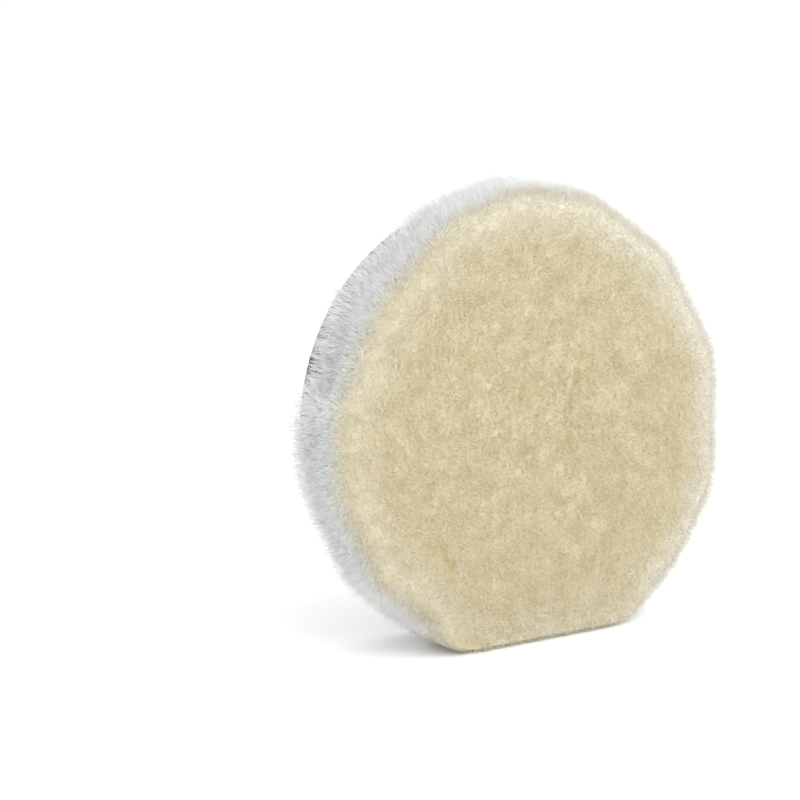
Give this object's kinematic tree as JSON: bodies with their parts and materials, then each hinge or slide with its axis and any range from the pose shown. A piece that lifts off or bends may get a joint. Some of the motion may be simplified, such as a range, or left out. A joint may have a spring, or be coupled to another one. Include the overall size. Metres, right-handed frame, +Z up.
{
  "type": "polishing pad",
  "caption": "Round sheepskin polishing pad: dense sheared wool face glued to a foam interface disc with a hook-and-loop back, standing on its scissor-trimmed edge.",
  "frame": {"origin": "bottom centre of the pad's box: on the surface it stands on, under the pad's middle", "axes": "+Z up, +Y out of the loop face along the pad's axis, -Y out of the wool face"},
  "size_m": [0.146, 0.036, 0.1437],
  "materials": {
    "loop_nylon": "matte",
    "ground_knit": "matte",
    "adhesive_film": "satin",
    "blue_foam": "matte",
    "tanned_hide": "matte",
    "sheared_wool": "matte"
  },
  "bodies": {
    "backing": {"loop_pile": "loop_nylon", "loop_ground": "ground_knit", "rear_bond_film": "adhesive_film", "foam_interface": "blue_foam"},
    "face": {"front_bond_film": "adhesive_film", "sheepskin_hide": "tanned_hide", "wool_pile": "sheared_wool"}
  },
  "joints": [
    {"name": "foam_compress", "type": "slide", "parent": "backing", "child": "face", "axis": [0, 1, 0], "range_m": [0, 0.006], "stiffness_N_per_m": 12000, "deforming": ["foam_interface"]}
  ]
}
